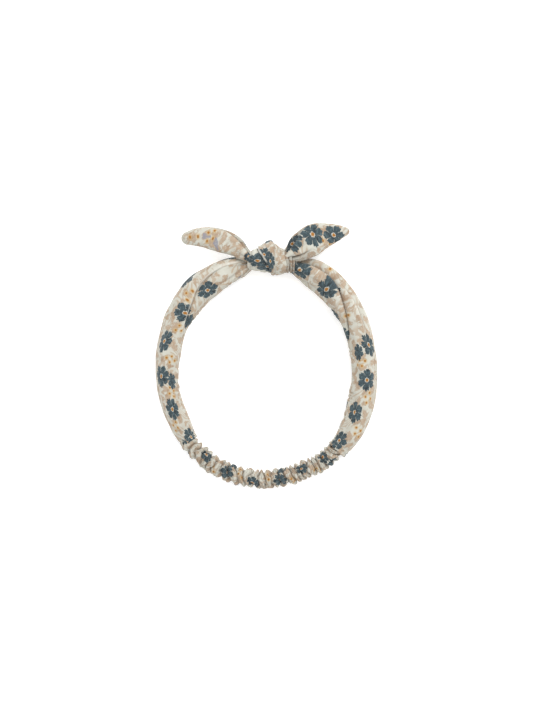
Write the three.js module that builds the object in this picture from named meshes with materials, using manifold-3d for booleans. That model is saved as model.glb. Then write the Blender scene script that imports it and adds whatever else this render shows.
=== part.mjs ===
// A knotted headband for a small child, lying flat on a table.
//
// Two straps of cotton, each sewn into a tube, are tied at the front in a knot
// that leaves a leaf-shaped tail on each side. Their other ends are stitched
// over a gathered casing that holds a strip of flat elastic.
//
// Millimetres, +Z up. The loop lies in the XY plane with its knot towards +Y,
// and z = 0 is the table. The inside of the loop is about 390 mm round.

import * as THREE from "three";
import { LoftGeometry } from "three/addons/geometries/LoftGeometry.js";
import { mergeVertices } from "three/addons/utils/BufferGeometryUtils.js";
import Module from "manifold-3d";

const wasm = await Module();
wasm.setup();

// ---------------------------------------------------------------- dimensions

const GAP = 0.35; // between pieces that touch on the real object
const THREAD = 0.8; // diameter of a line of stitching

// The middle line of the band, seen from above: from inside the knot's left
// side, down round the back of the loop and up into the knot's right side.
const LOOP = [
  [-8.4, 62.6],
  [-14, 60.8],
  [-30, 54.5],
  [-47, 42.5],
  [-60.5, 24],
  [-66.8, 0],
  [-66.3, -24],
  [-59.5, -45.5],
  [-46.8, -65],
  [-25, -79.5],
  [0, -84],
  [24, -78.8],
  [46, -65.8],
  [60, -46],
  [66, -22],
  [66.2, 0],
  [60.5, 22.5],
  [46.5, 43.5],
  [34, 54],
  [22.5, 60],
  [14.6, 62.2],
];

// Length of each strap along that line, and how far the ends of the casing
// are tucked into the straps' mouths.
const LEFT_LENGTH = 154;
const RIGHT_LENGTH = 155;
const TUCK = 6;

// The ends of the straps and tails at the knot are rounded about their hinges.
const STRAP_ROOT = 4.4;
const TAIL_ROOT = 3;
const TAIL_CLEARANCE = 1.1; // room in the knot for a tail to be lifted
const TAIL_TIP = 2.4;

// Straps: [distance from the knot end, width across, height, middle's z].
const LEFT_STRAP = [
  [0, 8.8, 10.2, 7.6],
  [STRAP_ROOT, 8.8, 10.2, 7.6],
  [9, 12.4, 12.4, 7.8],
  [16, 16.8, 15.4, 8.6],
  [28, 19.8, 19, 9.8],
  [46, 19.8, 21, 10.1],
  [66, 17.4, 21, 10.1],
  [88, 16, 21, 10.1],
  [114, 15, 20, 9.6],
  [136, 14, 17.5, 8.6],
  [147, 13.4, 15.8, 7.6],
  [LEFT_LENGTH, 13.2, 15.6, 7.5],
];
const RIGHT_STRAP = [
  [0, 8.8, 10.2, 7.6],
  [STRAP_ROOT, 8.8, 10.2, 7.6],
  [9, 13, 12.6, 7.8],
  [16, 17.6, 15.6, 8.6],
  [26, 20, 19, 9.8],
  [44, 20, 21, 10.1],
  [64, 18, 21, 10.1],
  [90, 17.2, 21, 10.1],
  [118, 17.2, 20, 9.6],
  [140, 15.4, 17.5, 8.6],
  [149, 13.8, 15.8, 7.6],
  [RIGHT_LENGTH, 13.6, 15.6, 7.5],
];

// Casing: [distance from either end, width, height, middle's z].
const CASING = [
  [0, 7.2, 11.4, 7.6],
  [TUCK + 0.5, 7.2, 11.4, 7.6],
  [TUCK + 3, 10.8, 13.8, 7.1],
  [TUCK + 10, 11.6, 14.6, 7],
];
const CASING_WALL = 1.2;
const ELASTIC = { width: 1.2, height: 6 }; // its flat side faces the head
const TACK_LENGTH = 2.4;

const SEAM_ANGLE = THREE.MathUtils.degToRad(-38); // round the strap from level
const STITCH_INSET = 3; // from a strap's mouth
const STRAP_SIDES = 18; // points round a section
const TAIL_SIDES = 14;
const THREAD_SIDES = 6;

// Tails: the middle line from inside the knot to the tip, and along it
// [distance, width across, thickness].
const LEFT_TAIL = {
  line: [
    [-10.9, 65.4, 16],
    [-16, 69, 15.6],
    [-24, 74.8, 14.4],
    [-34.5, 78.6, 12.4],
    [-46, 79.8, 10.4],
    [-57, 77.6, 8.8],
  ],
  sections: [
    [0, 6, 6],
    [TAIL_ROOT, 6, 6],
    [7, 8.2, 5.6],
    [15, 13, 5.6],
    [25, 15.2, 6],
    [34, 14, 5.8],
    [42, 10.6, 5],
    [50, 5.6, 3.6],
  ],
};
const RIGHT_TAIL = {
  line: [
    [15.6, 66.2, 16.2],
    [20.8, 69.6, 16],
    [26.2, 74.2, 15.2],
    [33, 78.7, 13.6],
    [41, 81.8, 12],
    [49, 83.6, 10.4],
    [57, 84.9, 9],
  ],
  sections: [
    [0, 6, 6],
    [TAIL_ROOT, 6, 6],
    [6.6, 8.8, 6],
    [13, 17.6, 6.4],
    [19, 20.8, 6.8],
    [26, 18.6, 6.4],
    [34, 13.4, 5.4],
    [46, 4.6, 3.4],
  ],
};

// The knot: a broad turn and a narrow one round a core that lies along X.
// Each turn leans, so its top is further left than its bottom.
const KNOT = { y: 66, z: 11.3, lean: 0.18, squash: 0.94 };
const WRAP = { x: -0.7, width: 21, outer: 11.9, edge: 8.6 };
const SIDE_TURN = { x: 13.4, width: 5.6, outer: 9.2, edge: 8.2 };
const CORE = { radius: 6.2, from: -10.4, to: 15.4 };

const COTTON = 0xdad8cc;
const THREAD_COLOUR = 0xe6e2d4;
const ELASTIC_COLOUR = 0xf2f1ec;

// -------------------------------------------------------------- shape helpers

const UP = new THREE.Vector3(0, 0, 1);
const ROUNDING = [0.06, 0.25, 0.55]; // sections of a rounded end, in radii

/** n + 1 even steps from a to b. */
function steps(a, b, n) {
  return Array.from({ length: n + 1 }, (_, i) => a + ((b - a) * i) / n);
}

/** Rows of [distance, ...sizes] as a smooth function of distance. */
function along(rows) {
  const last = rows.length - 1;
  const slope = (i, k) => {
    const [a, b] = [rows[Math.max(i - 1, 0)], rows[Math.min(i + 1, last)]];
    return (b[k] - a[k]) / (b[0] - a[0]);
  };
  return (s) => {
    const i = Math.max(rows.findLastIndex((row, j) => row[0] <= s && j < last), 0);
    const [a, b] = [rows[i], rows[i + 1]];
    const span = b[0] - a[0];
    const t = THREE.MathUtils.clamp((s - a[0]) / span, 0, 1);
    return a.slice(1).map((value, n) => {
      const [before, after] = [slope(i, n + 1), slope(i + 1, n + 1)];
      const eased = value + (b[n + 1] - value) * t * t * (3 - 2 * t);
      return eased + span * t * (1 - t) * (before * (1 - t) - after * t);
    });
  };
}

/** How far an end of this radius has opened, from 0 at its tip to 1. */
function rounded(distance, radius) {
  return Math.sqrt(1 - (1 - THREE.MathUtils.clamp(distance / radius, 0, 1)) ** 2);
}

function smoothLine(points) {
  const vectors = points.map(([x, y, z = 0]) => new THREE.Vector3(x, y, z));
  const line = new THREE.CatmullRomCurve3(vectors, false, "centripetal");
  line.arcLengthDivisions = 600;
  return line;
}

/** The point of a line at a distance, with the level directions on and across. */
function frameAt(line, distance) {
  const u = THREE.MathUtils.clamp(distance / line.getLength(), 0, 1);
  const ahead = line.getTangentAt(u).setZ(0).normalize();
  const inward = new THREE.Vector3().crossVectors(UP, ahead);
  return { point: line.getPointAt(u), ahead, inward };
}

/** An upright oval ring across a line. Nothing on it goes below the table. */
function ovalRing({ point, inward }, width, height, z, sides) {
  return Array.from({ length: sides }, (_, i) => {
    const angle = (2 * Math.PI * i) / sides;
    const across = (width / 2) * Math.cos(angle);
    const corner = point.clone().addScaledVector(inward, across);
    return corner.setZ(Math.max(0, z + (height / 2) * Math.sin(angle)));
  });
}

/** An upright rectangular ring across a line. */
function boxRing({ point, inward }, width, height, z) {
  const corners = [[1, -1], [1, 1], [-1, 1], [-1, -1]];
  return corners.map(([a, b]) => {
    const corner = point.clone().addScaledVector(inward, (a * width) / 2);
    return corner.setZ(z + (b * height) / 2);
  });
}

/** Rings joined into one body. They follow their line from its start to its end. */
function loft(rings) {
  return solidOf(new LoftGeometry(rings, { capStart: true, capEnd: true }));
}

/** A geometry as a solid that can be cut. */
function solidOf(geometry) {
  const bare = new THREE.BufferGeometry();
  bare.setAttribute("position", geometry.attributes.position);
  bare.setIndex(geometry.index);
  const merged = mergeVertices(bare, 1e-4);
  return new wasm.Manifold(
    new wasm.Mesh({
      numProp: 3,
      vertProperties: merged.attributes.position.array,
      triVerts: new Uint32Array(merged.index.array),
    }),
  );
}

function cut(body, ...tools) {
  return tools.reduce((left, tool) => left.subtract(tool), body);
}

/** A round thread through points. */
function threadThrough(points, diameter = THREAD) {
  const line = new THREE.CatmullRomCurve3(points, false, "centripetal");
  const circle = new THREE.Shape().absarc(0, 0, diameter / 2, 0, 2 * Math.PI);
  return solidOf(
    new THREE.ExtrudeGeometry(circle, {
      extrudePath: line,
      steps: points.length * 2,
      curveSegments: THREAD_SIDES / 2,
    }),
  );
}

// --------------------------------------------------------- names and materials

const MATERIALS = {
  cotton: { color: COTTON, roughness: 0.9, metalness: 0 },
  thread: { color: THREAD_COLOUR, roughness: 0.8, metalness: 0 },
  elastic: { color: ELASTIC_COLOUR, roughness: 0.7, metalness: 0 },
};

const headband = new THREE.Group();

/** Add a solid to the headband as a named mesh. */
function add(name, solid, material) {
  const mesh = solid.getMesh();
  const geometry = new THREE.BufferGeometry();
  geometry.setAttribute("position", new THREE.BufferAttribute(mesh.vertProperties, 3));
  geometry.setIndex(new THREE.BufferAttribute(mesh.triVerts, 1));
  geometry.computeVertexNormals();
  const piece = new THREE.Mesh(geometry, new THREE.MeshStandardMaterial(MATERIALS[material]));
  piece.name = name;
  headband.add(piece);
}

// ----------------------------------------------------- the casing and elastic

const loop = smoothLine(LOOP);
const LOOP_LENGTH = loop.getLength();
const CASING_START = LEFT_LENGTH - TUCK;
const CASING_END = LOOP_LENGTH - RIGHT_LENGTH + TUCK;
const casingSize = along(CASING);

/** The casing's width, height and middle at a distance along the loop. */
function casingAt(s) {
  return casingSize(Math.max(0, Math.min(s - CASING_START, CASING_END - s)));
}

/** Oval rings that follow the casing, larger than it all round by `extra`. */
function casingRings(from, to, n, extra = 0, sides = 16) {
  return steps(from, to, n).map((s) => {
    const [width, height, z] = casingAt(s);
    return ovalRing(frameAt(loop, s), width + 2 * extra, height + 2 * extra, z, sides);
  });
}

/** Rectangular rings that follow the elastic, larger than it by `extra`. */
function elasticRings(from, to, n, extra = 0) {
  return steps(from, to, n).map((s) => {
    const [, , z] = casingAt(s);
    const [width, height] = [ELASTIC.width + 2 * extra, ELASTIC.height + 2 * extra];
    return boxRing(frameAt(loop, s), width, height, z);
  });
}

function casing() {
  const outside = loft(casingRings(CASING_START, CASING_END, 40));
  const hollow = loft(casingRings(CASING_START - 1, CASING_END + 1, 30, -CASING_WALL, 12));
  return cut(outside, hollow);
}

/** The sewing that holds one end of the elastic: a short collar round it. */
function elasticTack(from) {
  const to = from + TACK_LENGTH;
  const outside = loft(casingRings(from, to, 1, -CASING_WALL - GAP, 12));
  return cut(outside, loft(elasticRings(from - 1, to + 1, 2, GAP)));
}

add("elastic_casing", casing(), "cotton");
add("elastic_strip", loft(elasticRings(CASING_START + 1, CASING_END - 1, 24)), "elastic");
add("left_elastic_tack", elasticTack(CASING_START + TACK_LENGTH), "thread");
add("right_elastic_tack", elasticTack(CASING_END - 2 * TACK_LENGTH), "thread");

// ----------------------------------------------------------------- the straps

/** Points along a strap's closing seam, which is low on the side of the head. */
function seamPoints(size, at, from, to, n) {
  return steps(from, to, n).map((s) => {
    const [width, height, z] = size(s);
    const { point, inward } = frameAt(loop, at(s));
    point.addScaledVector(inward, (width / 2) * Math.cos(SEAM_ANGLE));
    return point.setZ(z + (height / 2) * Math.sin(SEAM_ANGLE));
  });
}

/** A ring of thread round a strap, lifted where it would go into the table. */
function threadRing([width, height, z], { point, ahead }, diameter = THREAD) {
  const ring = new THREE.TorusGeometry(1, diameter / 2, THREAD_SIDES, 30);
  const corners = ring.attributes.position;
  for (let i = 0; i < corners.count; i += 1) {
    const [x, y] = [corners.getX(i), corners.getY(i)];
    const radius = Math.hypot(x, y);
    const [across, up] = [x / radius, y / radius];
    const middle = Math.max(THREAD / 2 - z, (height / 2) * up);
    corners.setX(i, (width / 2) * across + (radius - 1) * across);
    corners.setY(i, middle + (radius - 1) * up);
  }
  const across = new THREE.Vector3().crossVectors(UP, ahead);
  ring.applyMatrix4(new THREE.Matrix4().makeBasis(across, UP, ahead));
  return solidOf(ring.translate(point.x, point.y, z));
}

/** A strap and its sewing. `at` turns a distance from the knot into one along the loop. */
function strap(side, rows, at) {
  const size = along(rows);
  const length = rows.at(-1)[0];
  const stations = [...ROUNDING.map((t) => t * STRAP_ROOT), STRAP_ROOT, ...steps(9, length, 17)];
  const rings = stations.map((s) => {
    const [width, height, z] = size(s);
    const open = rounded(s, STRAP_ROOT);
    return ovalRing(frameAt(loop, at(s)), width * open, height * open, z, STRAP_SIDES);
  });
  if (at(length) < at(0)) rings.reverse();

  const [mouth, bottom] = [at(length + 1), at(length - TUCK - GAP)];
  const socket = loft(
    casingRings(Math.min(mouth, bottom), Math.max(mouth, bottom), 4, GAP),
  );
  const seam = seamPoints(size, at, 12, length - 9, 12);
  const stitched = length - STITCH_INSET;
  const place = frameAt(loop, at(stitched));
  const tools = [
    socket,
    threadThrough(seam, THREAD + 2 * GAP),
    threadRing(size(stitched), place, THREAD + 2 * GAP),
  ];
  add(`${side}_strap`, cut(loft(rings), ...tools), "cotton");
  add(`${side}_strap_seam`, threadThrough(seam.slice(1, -1)), "thread");
  add(`${side}_join_stitching`, threadRing(size(stitched), place), "thread");
}

strap("left", LEFT_STRAP, (s) => s);
strap("right", RIGHT_STRAP, (s) => LOOP_LENGTH - s);

// ------------------------------------------------------------------ the tails

/** A tail: a flat leaf of doubled cotton. Its seam is on the strap's side. */
function tail(side, { line, sections }, seamSide) {
  const middle = smoothLine(line);
  const length = middle.getLength();
  const size = along(sections);
  const root = [...ROUNDING.map((t) => t * TAIL_ROOT), TAIL_ROOT];
  const tip = ROUNDING.map((t) => length - t * TAIL_TIP).reverse();
  const stations = [...root, ...steps(5, length - TAIL_TIP, 11), ...tip];
  const body = loft(
    stations.map((s) => {
      const [width, thickness] = size(s);
      const open = rounded(s, TAIL_ROOT) * rounded(length - s, TAIL_TIP);
      const frame = frameAt(middle, s);
      return ovalRing(frame, width * open, thickness * open, frame.point.z, TAIL_SIDES);
    }),
  );
  const seam = steps(8, length - 6, 8).map((s) => {
    const { point, inward } = frameAt(middle, s);
    const [width] = size(s);
    return point.addScaledVector(inward, (seamSide * width) / 2);
  });
  add(`${side}_tail`, cut(body, threadThrough(seam, THREAD + 2 * GAP)), "cotton");
  add(`${side}_tail_seam`, threadThrough(seam.slice(1, -1)), "thread");
}

tail("left", LEFT_TAIL, 1);
tail("right", RIGHT_TAIL, -1);

// ------------------------------------------------------------------- the knot

/** A profile of [radius, x] points turned round the knot's middle. */
function turned(profile, segments) {
  const points = [...profile, profile[0]].map(([r, x]) => new THREE.Vector2(r, x));
  const body = new THREE.LatheGeometry(points, segments);
  return body.rotateZ(-Math.PI / 2).scale(1, 1, KNOT.squash);
}

/** A turn of strap round the core: a leaning barrel with a hole through it. */
function turn({ x, width, outer, edge }) {
  const half = width / 2;
  const hole = CORE.radius + GAP;
  const shoulder = (edge + outer) / 2 + 0.6;
  const body = turned(
    [
      [hole, -half + 1],
      [hole + 0.8, -half],
      [edge - 0.8, -half],
      [edge, -half + 0.6],
      [shoulder, -half * 0.62],
      [outer, -half * 0.2],
      [outer, half * 0.2],
      [shoulder, half * 0.62],
      [edge, half - 0.6],
      [edge - 0.8, half],
      [hole + 0.8, half],
      [hole, half - 1],
    ],
    28,
  );
  body.applyMatrix4(new THREE.Matrix4().makeShear(0, 0, -KNOT.lean, 0, 0, 0));
  return solidOf(body.translate(x, KNOT.y, KNOT.z));
}

function core() {
  const { radius, from, to } = CORE;
  const body = turned(
    [
      [0, from],
      [radius - 1.2, from],
      [radius, from + 1.2],
      [radius, to - 1.2],
      [radius - 1.2, to],
      [0, to],
    ],
    20,
  );
  return solidOf(body.translate(0, KNOT.y, KNOT.z));
}

/** The hollow where a strap enters the knot and turns about its hinge. */
function strapRoom(distance, [[, , height, z]]) {
  const { point } = frameAt(loop, distance);
  const radius = STRAP_ROOT + GAP;
  const room = new THREE.CylinderGeometry(radius, radius, height + 2 * GAP, 32);
  return solidOf(room.rotateX(Math.PI / 2).translate(point.x, point.y, z));
}

/** The hollow where a tail leaves the knot. */
function tailRoom({ line }) {
  const { point } = frameAt(smoothLine(line), TAIL_ROOT);
  const room = new THREE.SphereGeometry(TAIL_ROOT + TAIL_CLEARANCE, 20, 14);
  return solidOf(room.translate(point.x, point.y, point.z));
}

const rooms = [
  strapRoom(STRAP_ROOT, LEFT_STRAP),
  strapRoom(LOOP_LENGTH - STRAP_ROOT, RIGHT_STRAP),
  tailRoom(LEFT_TAIL),
  tailRoom(RIGHT_TAIL),
];
add("knot_wrap", cut(turn(WRAP), ...rooms), "cotton");
add("knot_side_turn", cut(turn(SIDE_TURN), ...rooms), "cotton");
add("knot_core", cut(core(), ...rooms), "cotton");

export default headband;
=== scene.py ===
"""A knotted cotton headband for a small child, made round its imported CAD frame.

The band is two sewn tubes of printed cotton, tied in a knot with a leaf-shaped
tail on each side, and joined at the back by a gathered casing over an elastic.
Shapes are worked out in millimetres, in the CAD frame, and turned into metres
when a mesh is made.
"""

import math
from collections import namedtuple

import bpy
import numpy as np
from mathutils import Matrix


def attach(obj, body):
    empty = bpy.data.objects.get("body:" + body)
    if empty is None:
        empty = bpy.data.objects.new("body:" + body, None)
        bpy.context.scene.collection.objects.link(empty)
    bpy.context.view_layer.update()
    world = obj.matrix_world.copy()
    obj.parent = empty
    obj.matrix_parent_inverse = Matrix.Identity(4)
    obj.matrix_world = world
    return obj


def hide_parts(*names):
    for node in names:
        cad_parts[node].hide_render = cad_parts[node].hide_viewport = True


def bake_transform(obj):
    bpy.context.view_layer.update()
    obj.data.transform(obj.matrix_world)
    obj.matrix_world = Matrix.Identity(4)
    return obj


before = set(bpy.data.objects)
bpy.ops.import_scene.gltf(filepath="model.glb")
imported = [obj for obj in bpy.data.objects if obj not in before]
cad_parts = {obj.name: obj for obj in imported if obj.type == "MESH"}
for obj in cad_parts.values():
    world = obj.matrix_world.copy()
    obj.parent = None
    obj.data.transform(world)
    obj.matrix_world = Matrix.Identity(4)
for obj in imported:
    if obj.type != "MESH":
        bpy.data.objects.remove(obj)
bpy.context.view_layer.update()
MM = 0.001
TURN = 2 * math.pi

# --- dimensions ---

# The middle line of the band, as in the CAD, from the left side of the knot
# round the back to its right side.
LOOP = [
    (-8.4, 62.6), (-14, 60.8), (-30, 54.5), (-47, 42.5), (-60.5, 24), (-66.8, 0),
    (-66.3, -24), (-59.5, -45.5), (-46.8, -65), (-25, -79.5), (0, -84),
    (24, -78.8), (46, -65.8), (60, -46), (66, -22), (66.2, 0), (60.5, 22.5),
    (46.5, 43.5), (34, 54), (22.5, 60), (14.6, 62.2),
]
LEFT_LENGTH = 154
RIGHT_LENGTH = 155
TUCK = 6  # how far the casing goes into a strap
FLOOR_GAP = 0.15  # the lowest cloth above the table
PRESS = 0.5  # how softly the table presses the cloth

# Straps: [distance from the knot, width, height, middle's height, shift inwards].
LEFT_STRAP = [
    (0, 8.6, 10, 7.6, 0), (4.4, 8.8, 10.4, 7.8, 0), (9, 12.2, 12.4, 8, 0),
    (16, 16.6, 15.4, 8.8, 0), (28, 19.6, 18.6, 9.8, 0), (46, 20.4, 20.4, 10.1, 0.2),
    (66, 18.6, 20.4, 10.1, 0.7), (88, 16, 20.4, 10.1, 0.5), (114, 14.8, 19.4, 9.6, 0.2),
    (136, 13.8, 17.2, 8.6, 0.3), (147, 13.2, 15.6, 7.7, 0.3), (LEFT_LENGTH, 12.6, 15, 7.6, 0.3),
]
RIGHT_STRAP = [
    (0, 8.6, 10, 7.6, 0), (4.4, 8.8, 10.4, 7.8, 0), (9, 12.8, 12.6, 8, 0),
    (16, 17.4, 15.6, 8.8, 0), (26, 19.8, 18.6, 9.8, 0), (44, 20.6, 20.4, 10.1, -0.4),
    (64, 18.6, 20.4, 10.1, -0.5), (90, 17, 20.4, 10.1, -0.2), (118, 17.2, 19.4, 9.6, -0.3),
    (140, 16.6, 17.2, 8.6, -0.9), (149, 15, 15.6, 7.7, -1.1), (RIGHT_LENGTH, 14, 15, 7.6, -0.9),
]
STRAP_GIRTH = 60  # round the flat tube, before it is gathered at its ends
# A strap's mouth, where the cloth turns in: [how far inwards, how far on, cloth used].
MOUTH = [(0.5, 0.35, 0.6), (1.1, 0.2, 1.3), (1.6, -0.6, 2.2), (1.9, -3.5, 5)]

# A lengthwise fold. Its lip is on the inner side where lip is 1, and on the outer one
# where it's -1. It runs at near, from -1 outside to 1 inside, and then crosses to far
# between the two distances of crossing. Each row is [distance, depth, painted shade in
# the valley]. lit is how strong the painted highlight along the lip is, and behind is the
# painted shade on the cloth that goes under it.
Fold = namedtuple("Fold", "lip near far crossing rows lit behind", defaults=(0, 0))
LEFT_FOLDS = [
    Fold(-1, -0.5, 1, (16, 90), [(0, 0.4, 0.1), (20, 1.3, 0.2), (45, 2.1, 0.25), (90, 0, 0)], lit=0.8),
]
RIGHT_FOLDS = [
    Fold(1, -0.3, 1, (24, 80), [(0, 2, 0.4), (12, 5.2, 0.9), (30, 5, 0.9), (50, 3, 0.7), (84, 0, 0)]),
    Fold(1, -0.6, -0.4, (30, 60), [(34, 0, 0), (52, 1.1, 0.2), (84, 0, 0)], lit=0.35),
]

# --- camera ---

LENS = 85
SENSOR = 36
VIEW_LENGTH = 0.4835  # what the picture's long side shows at the band's height
VIEW_CENTRE = (0.0005, -0.0003, 0.010)


def make_camera():
    data = bpy.data.cameras.new("camera")
    data.lens = LENS
    data.sensor_width = SENSOR
    camera = bpy.data.objects.new("camera", data)
    x, y, z = VIEW_CENTRE
    camera.location = (x, y, z + VIEW_LENGTH * LENS / SENSOR)
    bpy.context.scene.collection.objects.link(camera)
    bpy.context.scene.camera = camera


make_camera()

# --- shape helpers ---


def along(rows, s):
    """Rows of [distance, ...values] as smooth functions of s, one column each."""
    rows = np.array(rows, float)
    x, y = rows[:, 0], rows[:, 1:]
    slope = np.empty_like(y)
    slope[1:-1] = (y[2:] - y[:-2]) / (x[2:] - x[:-2])[:, None]
    slope[0] = (y[1] - y[0]) / (x[1] - x[0])
    slope[-1] = (y[-1] - y[-2]) / (x[-1] - x[-2])
    s = np.asarray(s, float)
    i = np.clip(np.searchsorted(x, s, side="right") - 1, 0, len(x) - 2)
    span = (x[i + 1] - x[i])[:, None]
    t = np.clip((s - x[i])[:, None] / span, 0, 1)
    eased = y[i] + (y[i + 1] - y[i]) * t * t * (3 - 2 * t)
    value = eased + span * t * (1 - t) * (slope[i] * (1 - t) - slope[i + 1] * t)
    return value.T


class Line:
    """A smooth line through points, walked by distance from its start."""

    def __init__(self, points, steps=40):
        p = np.array([tuple(q) + (0,) * (3 - len(q)) for q in points], float)
        p = np.vstack([2 * p[0] - p[1], p, 2 * p[-1] - p[-2]])
        knots = np.sqrt(np.linalg.norm(np.diff(p, axis=0), axis=1))
        dense = []
        for i in range(1, len(p) - 2):
            a, b, c = knots[i - 1 : i + 2]
            first = (p[i] - p[i - 1]) / a - (p[i + 1] - p[i - 1]) / (a + b)
            first = b * (first + (p[i + 1] - p[i]) / b)
            last = (p[i + 1] - p[i]) / b - (p[i + 2] - p[i]) / (b + c)
            last = b * (last + (p[i + 2] - p[i + 1]) / c)
            t = np.linspace(0, 1, steps, endpoint=False)[:, None]
            dense.append(
                p[i] * (1 + 2 * t) * (1 - t) ** 2
                + p[i + 1] * t * t * (3 - 2 * t)
                + first * t * (1 - t) ** 2
                + last * t * t * (t - 1)
            )
        self.points = np.vstack([*dense, p[-2:-1]])
        lengths = np.linalg.norm(np.diff(self.points, axis=0), axis=1)
        self.s = np.concatenate([[0], np.cumsum(lengths)])
        self.length = self.s[-1]

    def at(self, s):
        return np.stack([np.interp(s, self.s, self.points[:, k]) for k in range(3)], axis=-1)

    def left(self, s):
        """The level direction to the left of the way ahead."""
        s = np.clip(s, 1, self.length - 1)
        way = self.at(s + 1) - self.at(s - 1)
        left = np.stack([-way[..., 1], way[..., 0], 0 * way[..., 0]], axis=-1)
        return left / np.linalg.norm(left, axis=-1, keepdims=True)


def waves(places, size, seed, count=10):
    """A smooth random field of about -1 to 1 over places, the same every time."""
    draw = np.random.RandomState(seed)
    total = 0
    for _ in range(count):
        way = draw.normal(size=len(places))
        way *= TURN / size * draw.uniform(0.6, 1.5) / np.linalg.norm(way)
        total = total + np.sin(sum(w * p for w, p in zip(way, places)) + draw.uniform(0, TURN))
    return total / math.sqrt(count)


def pleat(x):
    """Round ridges with sharp valleys between them, from -0.6 to 0.4, one per unit."""
    return np.abs(np.sin(math.pi * x)) ** 0.7 - 0.6


def bump(x, width):
    return np.exp(-((x / width) ** 2))


def valleys(relief, depth):
    """How deep in a relief's valleys each point lies, from 0 to 1."""
    return np.clip(-relief / depth, 0, 1)


def smooth(x, low, high):
    t = np.clip((x - low) / (high - low), 0, 1)
    return t * t * (3 - 2 * t)


def rounded(distance, radius):
    """How far a rounded end has opened, from 0 at its tip to 1."""
    return np.sqrt(1 - (1 - np.clip(distance / radius, 0, 1)) ** 2)


def on_table(grid):
    """A grid with its lowest points pressed softly up to the table's surface."""
    high = (grid[..., 2] - FLOOR_GAP) / PRESS
    grid[..., 2] = FLOOR_GAP + PRESS * np.log1p(np.exp(high))
    return grid


def oval(angle, power=2.2):
    """A point on a slightly squared circle."""
    c, s = np.cos(angle), np.sin(angle)
    return np.sign(c) * np.abs(c) ** (2 / power), np.sign(s) * np.abs(s) ** (2 / power)


def unit(vectors):
    return vectors / (np.linalg.norm(vectors, axis=-1, keepdims=True) + 1e-9)


def skin(grid):
    """The direction across a tube's skin at each point, and whether it points inwards."""
    rows = np.gradient(grid, axis=0)
    columns = np.roll(grid, -1, axis=1) - np.roll(grid, 1, axis=1)
    normal = np.cross(columns, rows)
    middle = grid.mean(axis=1, keepdims=True)
    return normal, ((grid - middle) * normal).sum() < 0


def outward(grid):
    """Unit normals of a tube's grid, pointing out of it."""
    normal, inwards = skin(grid)
    return -unit(normal) if inwards else unit(normal)


def push(grid, distance):
    return grid + outward(grid) * distance[..., None]


def add(name, mesh, material):
    """A mesh as a piece of the scene."""
    piece = bpy.data.objects.new(name, mesh)
    bpy.context.scene.collection.objects.link(piece)
    mesh.materials.append(material)
    return piece


def smooth_mesh(name, points, polygons):
    mesh = bpy.data.meshes.new(name)
    mesh.from_pydata(points, [], polygons)
    mesh.polygons.foreach_set("use_smooth", [True] * len(mesh.polygons))
    return mesh


def tube_mesh(name, grids):
    """One mesh of closed tubes, each from a grid in millimetres."""
    points, polygons = [], []
    for grid in grids:
        n, m = grid.shape[:2]
        base = len(points)
        points += (grid.reshape(-1, 3) * MM).tolist()
        for i in range(n - 1):
            a, b = base + i * m, base + (i + 1) * m
            for j in range(m):
                k = (j + 1) % m
                polygons.append((a + j, b + j, b + k, a + k))
        polygons.append(tuple(base + j for j in range(m)))
        polygons.append(tuple(base + (n - 1) * m + j for j in reversed(range(m))))
    return smooth_mesh(name, points, polygons)


# --- cloth and print ---

FLOWER, PATCH, SPRIG, LEAF, DOT = "flower", "patch", "sprig", "leaf", "dot"
PLAIN, EYE = 0, 1


def nearest(motifs, s, t, girth):
    """Each face's place in its nearest motif, per corner, and that motif's look."""
    ms, mt, size, long, angle, look = np.array(motifs, float).T
    c, n = np.cos(angle), np.sin(angle)
    gap_s = s.mean(axis=1)[:, None] - ms
    gap_t = t.mean(axis=1)[:, None] - mt
    gap_t = (gap_t + girth / 2) % girth - girth / 2
    x, y = (gap_s * c + gap_t * n) / (size * long), (gap_t * c - gap_s * n) / size
    pick = np.argmin(np.hypot(x, y), axis=1)
    centre_t = t.mean(axis=1) - gap_t[np.arange(len(pick)), pick]
    c, n, size, long = (values[pick][:, None] for values in (c, n, size, long))
    gap_s, gap_t = s - ms[pick][:, None], t - centre_t[:, None]
    x, y = (gap_s * c + gap_t * n) / (size * long), (gap_t * c - gap_s * n) / size
    return np.stack([x, y], axis=-1), look[pick]


def placed(motif, draw):
    """A motif that is placed, with all that the list of it leaves out."""
    s, t, size, *rest = motif
    look = draw.uniform(0.05, 0.85)
    if not rest:
        return (s, t, size, 1, draw.uniform(0, TURN), look)
    long, turn, kind = (*rest, PLAIN)[:3]
    return (s, t, size, long, math.radians(turn), look if kind == EYE else -look)


def scatter(seed, count, length, girth, size, apart, taken=(), clear=0, long=(1, 1)):
    """The motifs that are placed, and others thrown at random, each kept apart from
    the rest of its kind and off the strip of cloth that is nearer than clear to the
    top's middle."""
    draw = np.random.RandomState(seed)
    found = [placed(motif, draw) for motif in taken]
    for _ in range(count):
        s, t = draw.uniform(-4, length + 4), draw.uniform(-girth / 2, girth / 2)
        motif = (
            s, t, draw.uniform(*size), draw.uniform(*long), draw.uniform(0, TURN), draw.uniform()
        )
        if abs(t) < clear:
            continue
        close = any(
            math.hypot(s - m[0], (t - m[1] + girth / 2) % girth - girth / 2) < apart
            for m in found
        )
        if not close:
            found.append(motif)
    return found


def end_fan(row, middle, n, m, inwards):
    """The triangles that close a tube's first or last row over the point middle."""
    around = [(row * m + k, row * m + (k + 1) % m) for k in range(m)]
    if (row == 0) == inwards:
        return [(middle, a, b) for a, b in around]
    return [(middle, b, a) for a, b in around]


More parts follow.
